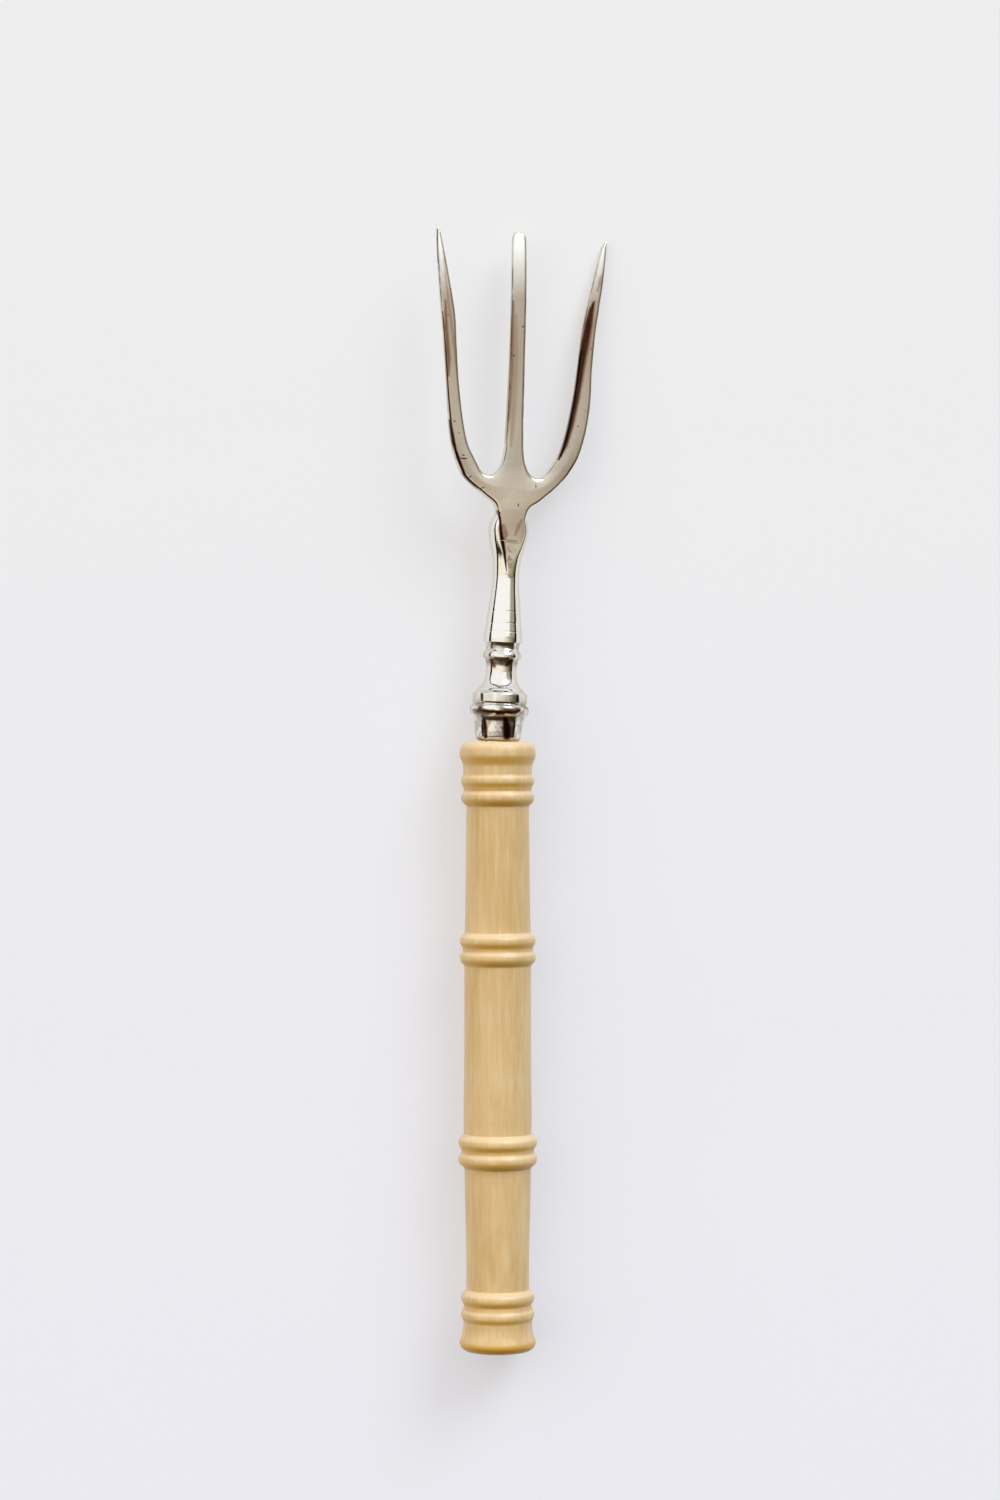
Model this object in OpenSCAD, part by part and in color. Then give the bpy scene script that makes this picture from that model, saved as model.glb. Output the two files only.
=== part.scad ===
// Oyster fork: a three-tine metal head on a turned stem, a ringed bolster and a turned wooden handle.
// Y runs up the handle from its butt to the tines, Z is up, and the handle's axis is the line X = Z = 0.
// The fork lies as it does on a table: on the rings of its handle and on the tip of one outer tine.

/* [Handle] */
// Length of the wooden handle
handle_l = 86.7; // [75:0.1:105]
// Diameter of the grip where it is thickest
grip_d = 9.7; // [8.5:0.1:10]
// Diameter of the pair of rings nearest the butt
butt_ring_d = 10.45; // [10.2:0.05:12]
// Diameter of the lower pair of rings
low_ring_d = 11.2; // [10.4:0.05:12.5]
// Diameter of the middle pair of rings
mid_ring_d = 10.85; // [10.4:0.05:12.5]
// Diameter of the pair of rings nearest the bolster
top_ring_d = 10.45; // [10.2:0.05:12]
// Diameter of the flanges at the handle's two ends
flange_d = 10.88; // [10.4:0.05:12.5]
// Diameter of the handle in the coves between its flanges and its rings
cove_d = 9.7; // [9:0.05:10.1]
// Radius of a ring's rounded edge
ring_round = 1.15; // [1:0.05:1.2]
// Distance between the two rings of a pair
ring_pitch = 2.4; // [2.2:0.05:2.6]
// Depth of the groove between the two rings of a pair
ring_groove = 0.42; // [0.2:0.02:0.6]

/* [Bolster] */
// Length of the bolster
bolster_l = 14.1; // [12:0.1:17]
// Diameter of the bolster's foot, which stands on the handle
foot_d = 6.5; // [6:0.1:7.2]
// Diameter of the bolster's large ring
big_ring_d = 8.4; // [7.9:0.1:9.4]
// Diameter of the band above the large ring
band_d = 7.8; // [7:0.1:8.4]
// Diameter of the bolster's waist
waist_d = 4.35; // [4:0.05:4.8]
// Diameter of the collar at the bolster's top
collar_d = 5.5; // [5.2:0.1:6]

/* [Stem] */
// Length of the stem above the bolster
stem_l = 18.9; // [16:0.1:24]
// Diameter of the cuff at the stem's foot
cuff_d = 5.5; // [5.1:0.1:6]
// Diameter of the stem at its thinnest
slim_d = 3.78; // [3.4:0.02:4.1]
// Diameter of the stem's flared end, under the head
flare_d = 5.7; // [5.2:0.1:6.2]
// Height above the stem's axis of the flat filed on its flared end
filed_h = 1.92; // [1.6:0.02:2.3]
// Diameter of the tang, which the stem's rod ends in inside the handle
tang_d = 2.8; // [2.2:0.1:3]
// Length of the tang
tang_l = 55; // [36:1:55]

/* [Head] */
// Length of the head from the stem's end to the tips
head_l = 40; // [34:0.5:48]
// Distance across the tips of the outer tines
head_w = 25.4; // [21:0.1:30]
// Length of the tongue that lies on the stem
tongue_l = 4.4; // [3.5:0.1:5.5]
// Width of the tongue at its end
tongue_w = 3; // [2.4:0.1:3.6]
// Thickness of the head at its palm
palm_t = 2; // [1.4:0.05:2.4]
// Thickness of the tines at their tips
tip_t = 0.7; // [0.4:0.05:1.2]
// How far the tines bend down at their tips
tip_drop = 1.6; // [0:0.05:3]
// How far the head sits to the left of the stem's middle
head_off = 0.05; // [0:0.01:0.3]
// Angle at which the metal leans out of the handle's line
lean = 3; // [0:0.1:5]

/* [Joints] */
// Thickness of the solder under and behind the tongue
solder_t = 0.1; // [0.05:0.01:0.2]
// How far the tongue lies below the filed flat
tongue_step = 0.12; // [0.05:0.01:0.3]
// Clearance between the stem's rod and the bolster's bore
bore_gap = 0.03; // [0.02:0.01:0.06]
// Height of the shoulder between the rod and its tang
shoulder = 0.1; // [0.05:0.01:0.15]
// Thickness of the cement round the tang, between it and the handle's hole
cement_t = 0.5; // [0.3:0.05:1]
// Depth of the handle's hole below the end of the tang
hole_spare = 3; // [1:0.5:8]

/* [Hidden] */
$fn = 96;
overrun = 1;

// The pairs of rings: how far up the handle, as a share of its length, and their diameter.
ring_pair_shares = [0.0731, 0.3279, 0.659, 0.9216];
ring_pair_ds = [butt_ring_d, low_ring_d, mid_ring_d, top_ring_d];
// The grip: place up the handle, then width, as shares of the handle's length and the grip's diameter.
grip_shares = [
    [0.0731, 0.925], [0.16, 0.925], [0.24, 0.962], [0.3, 0.978], [0.3279, 0.99], [0.4, 1],
    [0.51, 0.979], [0.659, 0.982], [0.715, 0.957], [0.79, 0.94], [0.88, 0.922], [0.9216, 0.925]
];
// Each end of the handle is a rounded lip, from which a flange tapers in to a cove.
lip_round = 1.1;
cove_share = 0.042;

// The bolster, from its foot up: place along it, then width as a share of the diameter named in each list.
foot_round = 0.8;
foot_shares = [[0.057, 1], [0.21, 1.07], [0.25, 1.12], [0.32, 1.12]];
big_ring_share = 0.32;
big_ring_round = 0.92;
band_shares = [[0.33, 0.97], [0.385, 0.97], [0.395, 1], [0.478, 1], [0.492, 0.97], [0.51, 0.88]];
waist_shares = [
    [0.51, 1.58], [0.53, 1.5], [0.555, 1.33], [0.59, 1.17], [0.64, 1.06],
    [0.7, 1], [0.76, 1.01], [0.8, 1.05], [0.835, 1.1]
];
collar_shares = [
    [0.835, 0.9], [0.845, 1], [0.875, 1], [0.9, 0.96], [0.92, 0.88], [0.935, 0.84], [0.965, 0.855], [0.985, 0.88], [1, 0.9]
];

// The stem, from its foot up, in the same way.
cuff_shares = [[0, 1], [0.041, 1], [0.086, 0.97], [0.131, 0.927], [0.177, 0.9]];
slim_shares = [[0.222, 1.265], [0.31, 1.165], [0.4, 1.055], [0.493, 1], [0.584, 1.03], [0.65, 1.115], [0.719, 1.295]];
flare_shares = [[0.77, 0.935], [0.82, 0.99], [0.86, 1], [0.905, 0.95], [0.95, 0.82], [0.98, 0.64], [1, 0.4]];
// Where the flat filed on the flared end may start: at the stem's thinnest place.
filed_share = 0.493;
// Fine lines turned round the stem, and the grooves that key the tang into its cement.
line_shares = [0.08, 0.145, 0.235];
line_round = 0.09;
key_shares = [0.12, 0.27, 0.42, 0.57, 0.72, 0.87];
key_round = 0.35;

// The head's outline: distance out from its middle line as a share of half its width, then place along it.
right_outer_shares = [
    [0.147, -0.085], [0.15, -0.04], [0.2, 0.008], [0.331, 0.041], [0.551, 0.107], [0.717, 0.185], [0.815, 0.283],
    [0.862, 0.4], [0.87, 0.53], [0.898, 0.66], [0.96, 0.82], [0.996, 0.94], [1, 1]
];
left_outer_shares = [
    [0.147, -0.085], [0.15, -0.03], [0.19, 0.016], [0.331, 0.05], [0.567, 0.109], [0.69, 0.19], [0.755, 0.28],
    [0.797, 0.395], [0.85, 0.55], [0.903, 0.68], [0.955, 0.83], [0.985, 0.95], [0.985, 1]
];
slot_shares = [
    [0.94, 0.97], [0.888, 0.9], [0.795, 0.7625], [0.742, 0.67], [0.715, 0.57], [0.68, 0.45], [0.64, 0.36],
    [0.598, 0.288], [0.547, 0.225], [0.488, 0.1875], [0.417, 0.15], [0.354, 0.127], [0.283, 0.119],
    [0.2165, 0.127], [0.157, 0.1475], [0.12, 0.178], [0.1, 0.225]
];
centre_right_shares = [[0.088, 0.32], [0.08, 0.55], [0.075, 0.75], [0.06, 0.94], [0.045, 0.985], [0, 0.997]];
centre_left_shares = [[-0.098, 0.32], [-0.093, 0.55], [-0.1, 0.75], [-0.108, 0.94], [-0.1, 0.985], [-0.06, 0.997]];
curve_steps = 3;
bend_steps = 18;
bend_power = 2.2;

foot_r = foot_d / 2;
tang_r = tang_d / 2;
rod_r = tang_r + shoulder;
hole_d = tang_d + 2 * cement_t;
hole_deep = tang_l + hole_spare;
palm_top = filed_h - tongue_step;
palm_low = palm_top - palm_t;
stem_end = bolster_l + stem_l;
tongue_back = stem_end - tongue_l;
// How far the leaning metal dips into the handle at its edges before its foot is faced off.
foot_dip = foot_r * tan(lean);
rod_dip = rod_r * tan(lean);

// The roll at which the tip of the right-hand tine comes down to the table that the flanges lie on.
tip_low = (palm_top + palm_low) / 2 - tip_drop - tip_t / 2;
tip_out = (head_w / 2 - head_off) * cos(lean) + (stem_end + head_l) * sin(lean);
tip_reach = norm([tip_out, tip_low]);
rest_roll = asin(min(1, flange_d / 2 / tip_reach)) + atan2(tip_low, tip_out);

function curve_at(p, i, t) = let (
    a = p[max(i - 1, 0)],
    b = p[i],
    c = p[i + 1],
    d = p[min(i + 2, len(p) - 1)]
) (2 * b + (c - a) * t + (2 * a - 5 * b + 4 * c - d) * t * t + (3 * b - a - 3 * c + d) * t * t * t) / 2;

// A smooth line through the points, which passes through each of them.
function curve_through(p) = concat(
    [for (i = [0:len(p) - 2]) for (k = [0:curve_steps - 1]) curve_at(p, i, k / curve_steps)],
    [p[len(p) - 1]]
);

function reversed(p) = [for (i = [len(p) - 1:-1:0]) p[i]];

// Rows of shares made into points: width across, then place along.
function turned(shares, d, l) = [for (s = shares) [s[1] * d / 2, s[0] * l]];
function planned(shares, side) = [for (s = shares) [side * s[0] * head_w / 2, s[1] * head_l]];

// What is drawn along Z is laid along Y.
module along_y() {
    rotate([-90, 0, 0]) children();
}

// Turns the whole fork about its handle until it lies on the outer tine.
module rolled() {
    rotate([0, rest_roll, 0]) children();
}

// Stands the metal on the end of the handle, leaning.
module leaned() {
    translate([0, handle_l, 0]) rotate([0, 0, -lean]) children();
}

// Faces off the foot of the leaning metal so that it stands flush on the handle.
module faced() {
    difference() {
        children();
        translate([-foot_d, handle_l - foot_d, -foot_d]) cube([2 * foot_d, foot_d, 2 * foot_d]);
    }
}

module ring_pair(d) {
    for (side = [-1, 1]) {
        translate([d / 2 - ring_round, side * ring_pitch / 2]) circle(r = ring_round);
    }
    translate([0, -ring_pitch / 2]) square([d / 2 - ring_groove, ring_pitch]);
}

// One end of the handle, drawn from its flat face up to the cove.
module handle_end() {
    lip_x = flange_d / 2 - lip_round;
    cove_y = cove_share * handle_l;
    translate([lip_x, lip_round]) circle(r = lip_round);
    square([lip_x, cove_y]);
    polygon([[0, lip_round], [flange_d / 2, lip_round], [cove_d / 2, cove_y], [0, cove_y]]);
}

module handle_outline() {
    grip = turned(grip_shares, grip_d, handle_l);
    last = len(grip) - 1;
    polygon(concat([[0, grip[0][1]]], grip, [[0, grip[last][1]]]));
    for (i = [0:len(ring_pair_shares) - 1]) {
        translate([0, ring_pair_shares[i] * handle_l]) ring_pair(ring_pair_ds[i]);
    }
    // From each end pair of rings out to its flange.
    translate([0, lip_round]) square([cove_d / 2, grip[0][1] - lip_round]);
    translate([0, grip[last][1]]) square([cove_d / 2, handle_l - lip_round - grip[last][1]]);
    handle_end();
    translate([0, handle_l]) mirror([0, 1]) handle_end();
}

module handle() {
    color("burlywood") along_y() difference() {
        rotate_extrude() handle_outline();
        translate([0, 0, handle_l - hole_deep]) cylinder(d = hole_d, h = hole_deep + overrun);
    }
}

// The tang, thinner than the rod, grooved and cemented into the handle.
module tang() {
    along_y() difference() {
        translate([0, 0, handle_l - tang_l]) cylinder(r = tang_r, h = tang_l + rod_dip);
        for (s = key_shares) {
            translate([0, 0, handle_l - s * tang_l]) {
                rotate_extrude() translate([tang_r + key_round / 2, 0]) circle(r = key_round);
            }
        }
    }
}

module cement() {
    color("wheat") difference() {
        along_y() translate([0, 0, handle_l - hole_deep]) cylinder(d = hole_d, h = hole_deep);
        tang();
    }
}

module bolster_outline() {
    translate([foot_r - foot_round, foot_round]) circle(r = foot_round);
    square([foot_r - foot_round, foot_round + foot_round]);
    translate([big_ring_d / 2 - big_ring_round, big_ring_share * bolster_l]) circle(r = big_ring_round);
    rows = concat(
        turned(foot_shares, foot_d, bolster_l),
        turned(band_shares, band_d, bolster_l),
        curve_through(turned(waist_shares, waist_d, bolster_l)),
        turned(collar_shares, collar_d, bolster_l)
    );
    polygon(concat([[0, rows[0][1]]], rows, [[0, bolster_l]]));
}

module bolster() {
    color("silver") rolled() faced() leaned() along_y() difference() {
        union() {
            rotate_extrude() bolster_outline();
            translate([0, 0, -foot_dip]) cylinder(r = foot_r - foot_round, h = foot_dip + foot_round);
        }
        translate([0, 0, -foot_dip - overrun]) {
            cylinder(r = rod_r + bore_gap, h = foot_dip + bolster_l + 2 * overrun);
        }
    }
}

module stem_outline() {
    rows = curve_through(concat(
        turned(cuff_shares, cuff_d, stem_l),
        turned(slim_shares, slim_d, stem_l),
        turned(flare_shares, flare_d, stem_l)
    ));
    widths = [for (p = rows) [p[1], p[0]]];
    difference() {
        polygon(concat([[0, 0]], rows, [[0, stem_l]]));
        for (s = line_shares) {
            translate([lookup(s * stem_l, widths) + line_round / 2, s * stem_l]) circle(r = line_round);
        }
    }
}

// The turned stem before it is filed for the head, in the line of the leaning metal.
module stem_blank() {
    along_y() translate([0, 0, bolster_l]) rotate_extrude() stem_outline();
}

// All that lies above a height on the stem's flared end, from one place along it to past its end.
module above(height, from) {
    translate([-flare_d, from, height]) cube([2 * flare_d, stem_end - from + overrun, flare_d]);
}

module stem() {
    color("gainsboro") {
        tang();
        rolled() faced() leaned() {
            along_y() translate([0, 0, -rod_dip]) cylinder(r = rod_r, h = rod_dip + bolster_l + overrun);
            difference() {
                stem_blank();
                above(filed_h, bolster_l + filed_share * stem_l);
                above(palm_low - solder_t, tongue_back - solder_t);
            }
        }
    }
}

// The head seen from above: a tongue, a palm and three tines.
module head_plan() {
    translate([-head_off, stem_end]) polygon(concat(
        [[tongue_w / 2, -tongue_l]],
        curve_through(planned(right_outer_shares, 1)),
        curve_through(planned(slot_shares, 1)),
        curve_through(planned(centre_right_shares, 1)),
        reversed(curve_through(planned(centre_left_shares, 1))),
        reversed(curve_through(planned(slot_shares, -1))),
        reversed(curve_through(planned(left_outer_shares, -1))),
        [[-tongue_w / 2, -tongue_l]]
    ));
}

// Height of the middle of the metal, and its thickness, at a share of the way from palm to tip.
function bent(s) = (palm_top + palm_low) / 2 - tip_drop * pow(s, bend_power);
function thinned(s) = palm_t + (tip_t - palm_t) * s;

// The head seen from the side, bent down towards the tips.
module head_side() {
    stations = [for (k = [0:bend_steps]) k / bend_steps];
    translate([stem_end, 0]) polygon(concat(
        [[-tongue_l, palm_low], [-tongue_l, palm_top]],
        [for (s = stations) [s * head_l, bent(s) + thinned(s) / 2]],
        [for (s = reversed(stations)) [s * head_l, bent(s) - thinned(s) / 2]]
    ));
}

module fork_head() {
    color("lightgrey") rolled() leaned() intersection() {
        translate([0, 0, palm_low - head_l]) linear_extrude(height = 2 * head_l) head_plan();
        translate([-head_w, 0, 0]) rotate([90, 0, 90]) linear_extrude(height = 2 * head_w) head_side();
    }
}

module braze() {
    color("darkgrey") rolled() leaned() intersection() {
        stem_blank();
        union() {
            translate([0, 0, palm_low - solder_t]) linear_extrude(height = solder_t) head_plan();
            translate([-head_off - tongue_w / 2, tongue_back - solder_t, palm_low - solder_t]) {
                cube([tongue_w, solder_t, palm_t + solder_t]);
            }
        }
    }
}

fork_head();
braze();
stem();
bolster();
handle();
cement();
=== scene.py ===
import math
import bpy
import bmesh
from mathutils import Matrix, Vector
from mathutils.geometry import delaunay_2d_cdt
from mathutils.kdtree import KDTree


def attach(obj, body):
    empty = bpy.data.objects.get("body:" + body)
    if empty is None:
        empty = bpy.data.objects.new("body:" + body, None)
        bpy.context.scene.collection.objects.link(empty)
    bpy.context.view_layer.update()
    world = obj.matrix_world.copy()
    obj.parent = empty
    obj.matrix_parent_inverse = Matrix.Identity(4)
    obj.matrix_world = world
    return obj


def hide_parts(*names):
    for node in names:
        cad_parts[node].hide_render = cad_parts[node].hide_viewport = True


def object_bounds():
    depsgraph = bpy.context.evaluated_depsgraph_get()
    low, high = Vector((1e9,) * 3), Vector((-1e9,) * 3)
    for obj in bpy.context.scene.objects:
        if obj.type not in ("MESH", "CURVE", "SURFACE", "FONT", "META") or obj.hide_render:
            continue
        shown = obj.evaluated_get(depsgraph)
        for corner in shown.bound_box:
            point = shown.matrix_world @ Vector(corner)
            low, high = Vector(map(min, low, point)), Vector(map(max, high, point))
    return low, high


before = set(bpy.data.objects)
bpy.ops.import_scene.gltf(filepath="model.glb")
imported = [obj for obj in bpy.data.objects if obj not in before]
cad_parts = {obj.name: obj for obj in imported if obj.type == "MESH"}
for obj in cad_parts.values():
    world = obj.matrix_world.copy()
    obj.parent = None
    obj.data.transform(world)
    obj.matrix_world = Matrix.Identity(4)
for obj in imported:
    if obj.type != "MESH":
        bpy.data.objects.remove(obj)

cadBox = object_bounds()
mm = 0.001
tiny = 1e-9  # keeps divisions away from zero
scene = bpy.context.scene
print("frame loaded:", ", ".join(sorted(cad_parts)))


def tone(red, green, blue):
    # a colour read as 0 to 255 on screen, turned into the linear numbers that nodes take
    linear = []
    for part in (red, green, blue):
        part = part / 255
        linear.append(part / 12.92 if part <= 0.04045 else ((part + 0.055) / 1.055) ** 2.4)
    return (*linear, 1.0)


# The camera hangs over the middle of the fork and looks straight down. Lengths are in millimetres.
camera = {"over": (0.33, 85.5), "height": 504.7, "lens": 85, "sensor": 36, "nearest": 10, "farthest": 50000}

cameraData = bpy.data.cameras.new("lookingDown")
cameraData.lens = camera["lens"]
cameraData.sensor_width = camera["sensor"]
cameraData.clip_start = camera["nearest"] * mm
cameraData.clip_end = camera["farthest"] * mm
cameraObject = bpy.data.objects.new("lookingDown", cameraData)
cameraObject.location = (camera["over"][0] * mm, camera["over"][1] * mm, camera["height"] * mm)
scene.collection.objects.link(cameraObject)
scene.camera = cameraObject
scene.view_settings.view_transform = "Standard"
print("camera placed")


class Shade:
    # one socket of a node tree: sums on it add Math nodes, and node() adds any other node
    def __init__(self, tree, socket=None):
        self.tree = tree
        self.socket = socket

    def node(self, kind, settings=None, sockets=None, out=0):
        made = self.tree.nodes.new(kind)
        for name, value in (settings or {}).items():
            if name == "stops":
                ends = made.color_ramp.elements
                ends[0].position, ends[-1].position = value[0][0], value[-1][0]
                for at, _ in value[1:-1]:
                    ends.new(at)
                for end, (_, colour) in zip(ends, value):
                    end.color = colour
            else:
                setattr(made, name, value)
        for name, value in (sockets or {}).items():
            if isinstance(value, Shade):
                self.tree.links.new(value.socket, made.inputs[name])
            else:
                made.inputs[name].default_value = value
        return Shade(self.tree, made.outputs[out])

    def maths(self, operation, first, second):
        return self.node("ShaderNodeMath", {"operation": operation}, {0: first, 1: second})

    def __add__(self, other):
        return self.maths("ADD", self, other)

    __radd__ = __add__

    def __sub__(self, other):
        return self.maths("SUBTRACT", self, other)

    def __rsub__(self, other):
        return self.maths("SUBTRACT", other, self)

    def __mul__(self, other):
        return self.maths("MULTIPLY", self, other)

    __rmul__ = __mul__

    def blended(self, first, second):
        # from the first colour to the second as this value goes from 0 to 1
        return self.node("ShaderNodeMix", {"data_type": "RGBA"}, {0: self, 6: first, 7: second}, out=2)

    def eased(self, low, high, start=0.0, end=1.0):
        # this value brought from low..high to start..end, with soft ends
        sockets = {"Value": self, "From Min": low, "From Max": high, "To Min": start, "To Max": end}
        return self.node("ShaderNodeMapRange", {"interpolation_type": "SMOOTHSTEP"}, sockets)

    def facing(self, x, y, z):
        # how far these coordinates lie along a direction: 1 at most if they are a direction themselves
        aim = Vector((x, y, z)).normalized()
        return self.node("ShaderNodeVectorMath", {"operation": "DOT_PRODUCT"}, {0: self, 1: aim}, out=1)

    def clouds(self, scale, detail=2.0, roughness=0.5, distortion=0.0):
        # smooth noise read at these coordinates
        sockets = {"Vector": self, "Scale": scale, "Detail": detail, "Roughness": roughness}
        sockets["Distortion"] = distortion
        return self.node("ShaderNodeTexNoise", {}, sockets)

    def streaked(self, stretch, *settings):
        # the same noise, with the coordinates scaled on each axis first
        scaled = self.node("ShaderNodeMapping", {}, {"Vector": self, "Scale": stretch})
        return scaled.clouds(*settings)


def newSurface(name, metallic=0.0):
    # an empty material, the maker that adds nodes to it, and its shader
    surface = bpy.data.materials.new(name)
    surface.use_nodes = True
    shader = surface.node_tree.nodes["Principled BSDF"]
    shader.inputs["Metallic"].default_value = metallic
    return surface, Shade(surface.node_tree), shader


def wire(value, socket):
    value.tree.links.new(value.socket, socket)


def place(maker):
    return maker.node("ShaderNodeTexCoord", out=3)


def marked(maker, name):
    # the numbers that a piece keeps under this name at its points
    return maker.node("ShaderNodeAttribute", {"attribute_name": name}, out=2)


def dressed(shader, colour, rough, relief, strength, distance):
    # gives a surface its colour, its roughness and an uneven look, the last over this distance in metres
    bump = relief.node("ShaderNodeBump", {}, {"Height": relief, "Strength": strength, "Distance": distance})
    for value, name in ((colour, "Base Color"), (rough, "Roughness"), (bump, "Normal")):
        wire(value, shader.inputs[name])


# Light: a room bright at the left and beyond the tines, tan at the right and dim behind the butt, with a
# dark band low down all round. East and north grow to 1 as a direction turns to the right or the tines.
# A change is where it starts and ends, then its first and last value if they are not 0 and 1.
room = {
    "across": [
        (0.0, tone(250, 241, 217)), (0.5, tone(253, 251, 246)), (0.7, tone(226, 219, 204)),
        (0.76, tone(206, 198, 181)), (0.85, tone(170, 162, 140)), (0.93, tone(128, 120, 94)),
        (0.99, tone(78, 76, 56)),
    ],
    "overTines": tone(160, 146, 126), "overEast": (0.3, 0.45), "overNorth": (0.02, 0.09, 0.0, 0.8),
    "beyond": tone(254, 255, 255), "beyondNorth": (0.1, 0.14),
    "gap": 0.9, "gapEast": (0.56, 0.72), "gapNorth": (0.3, 0.6),
    "behind": tone(66, 44, 26), "behindNorth": (-0.09, -0.32), "behindRagged": 0.16,
    "band": tone(26, 27, 20), "bandTop": 0.27, "bandFade": 0.06, "bandRagged": 0.1,
    "bandDip": 0.16, "dipNorth": (0.1, 0.6),
    "raggedSize": 3.0, "level": 1.03, "seen": tone(235, 235, 237),
}
lamps = {
    "window": {"towards": (0.48, 0.71, 0.515), "power": 1.6, "spread": 30, "colour": (0.78, 0.89, 1.0)},
    "leftLamp": {"towards": (-0.72, 0.18, 0.67), "power": 0.6, "spread": 60, "colour": (1.0, 0.86, 0.58)},
}

world = bpy.data.worlds.new("paleRoom")
scene.world = world
world.use_nodes = True
air = Shade(world.node_tree)
towards = air.node("ShaderNodeTexCoord")
east = towards.facing(1, 0, 0)
north = towards.facing(0, 1, 0)
above = towards.facing(0, 0, 1)
ragged = towards.clouds(room["raggedSize"]) - 0.5
walls = air.node("ShaderNodeValToRGB", {"stops": room["across"]}, {0: 0.5 * east + 0.5})
overTines = east.eased(*room["overEast"]) * north.eased(*room["overNorth"])
walls = overTines.blended(walls, room["overTines"])
gap = room["gap"] * east.eased(*room["gapEast"]) * (1 - north.eased(*room["gapNorth"]))
beyond = north.eased(*room["beyondNorth"]) * (1 - gap)
walls = beyond.blended(walls, room["beyond"])
behind = (north + room["behindRagged"] * ragged).eased(*room["behindNorth"])
walls = behind.blended(walls, room["behind"])
bandTop = room["bandTop"] + room["bandRagged"] * ragged - room["bandDip"] * north.eased(*room["dipNorth"])
aboveBand = (above - bandTop).eased(-room["bandFade"], room["bandFade"])
allRound = aboveBand.blended(room["band"], walls)
shown = air.node("ShaderNodeLightPath").blended(allRound, room["seen"])
backdrop = world.node_tree.nodes["Background"]
wire(shown, backdrop.inputs["Color"])
backdrop.inputs["Strength"].default_value = room["level"]

for name, lamp in lamps.items():
    lampData = bpy.data.lights.new(name, "SUN")
    lampData.energy = lamp["power"]
    lampData.angle = math.radians(lamp["spread"])
    lampData.color = lamp["colour"]
    lampObject = bpy.data.objects.new(name, lampData)
    lampObject.visible_glossy = name == "window"  # the metal mirrors the window and the room, not the lamp
    lampObject.rotation_mode = "QUATERNION"
    lampObject.rotation_quaternion = Vector(lamp["towards"]).to_track_quat("Z", "Y")
    scene.collection.objects.link(lampObject)
print("light made")

# The table, level with the fork's lowest point. Part of its paleness shows by itself, which keeps
# shadows light.
table = {
    "size": 40.0, "near": tone(239, 239, 247), "far": tone(242, 242, 244), "drift": (-0.02, 0.19),
    "mottle": (9.0, 3.0), "mottleShift": 0.03, "roughness": 0.75, "shine": 0.2, "ownPaleness": 0.5,
}

tableMesh = bpy.data.meshes.new("table")
half = table["size"] / 2
corners = [(-half, -half, 0), (half, -half, 0), (half, half, 0), (-half, half, 0)]
tableMesh.from_pydata(corners, [], [(0, 1, 2, 3)])
tableObject = bpy.data.objects.new("table", tableMesh)
tableObject.location = (0, 0, cadBox[0][2])
scene.collection.objects.link(tableObject)
tableTop, maker, shader = newSurface("tableTop")
spot = place(maker)
mottled = spot.clouds(*table["mottle"]) - 0.5
drift = (spot.facing(0, 1, 0) + table["mottleShift"] * mottled).eased(*table["drift"])
pale = drift.blended(table["near"], table["far"])
wire(pale, shader.inputs["Base Color"])
shader.inputs["Roughness"].default_value = table["roughness"]
shader.inputs["Specular IOR Level"].default_value = table["shine"]
rays = [maker.node("ShaderNodeLightPath", out=ray) for ray in (0, "Is Glossy Ray", "Is Transmission Ray")]
plain = maker.node("ShaderNodeEmission", {}, {"Color": pale, "Strength": 1.0})
share = table["ownPaleness"] * (rays[0] + rays[1] + rays[2])
lit = Shade(maker.tree, shader.outputs[0])
both = maker.node("ShaderNodeMixShader", {}, {0: share, 1: lit, 2: plain})
wire(both, maker.tree.nodes["Material Output"].inputs["Surface"])
tableMesh.materials.append(tableTop)
print("table laid")


def clipped(value, low=0, high=1):
    return min(high, max(low, value))


def softly(value):
    # from 0 to 1 with soft ends
    part = clipped(value)
    return part * part * (3 - 2 * part)


def sized(piece, part):
    # a part's rows of (share of the length, share of the width) as (y, half width)
    return [(s * piece["length"], w * piece[part] / 2) for s, w in piece[part + "Rows"]]


def smoothThrough(rows, steps):
    # a curve that passes smoothly through every row of numbers
    out = []
    last = len(rows) - 1
    for i in range(last):
        a, b, c, d = rows[max(i - 1, 0)], rows[i], rows[i + 1], rows[min(i + 2, last)]
        for k in range(steps):
            t = k / steps
            out.append(tuple(
                (2 * q + (r - p) * t + (2 * p - 5 * q + 4 * r - s) * t ** 2
                 + (3 * q - p - 3 * r + s) * t ** 3) / 2
                for p, q, r, s in zip(a, b, c, d)
            ))
    out.append(tuple(rows[last]))
    return out


def widthAt(rows, y):
    # half width at y, along rows of (y, half width)
    if y <= rows[0][0]:
        return rows[0][1]
    for (y0, r0), (y1, r1) in zip(rows, rows[1:]):
        if y <= y1:
            return r0 + (r1 - r0) * (y - y0) / max(y1 - y0, tiny)
    return rows[-1][1]


def discAt(y, middle, width, edge):
    # half width at y of a ring with an edge rounded to this radius, or 0 beside it
    off = abs(y - middle)
    return width - edge + math.sqrt(edge ** 2 - off ** 2) if off < edge else 0


def sampled(widthOf, length, step, soften):
    # rows of (y, half width) at even steps, each averaged over a short reach to ease the corners
    count = round(length / step)
    rows = [(length * i / count, widthOf(length * i / count)) for i in range(count + 1)]
    reach = round(soften / step)
    out = []
    for i, (y, _) in enumerate(rows):
        side = min(reach, i, count - i)
        nearby = rows[i - side:i + side + 1]
        out.append((y, sum(width for _, width in nearby) / len(nearby)))
    return out


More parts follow.
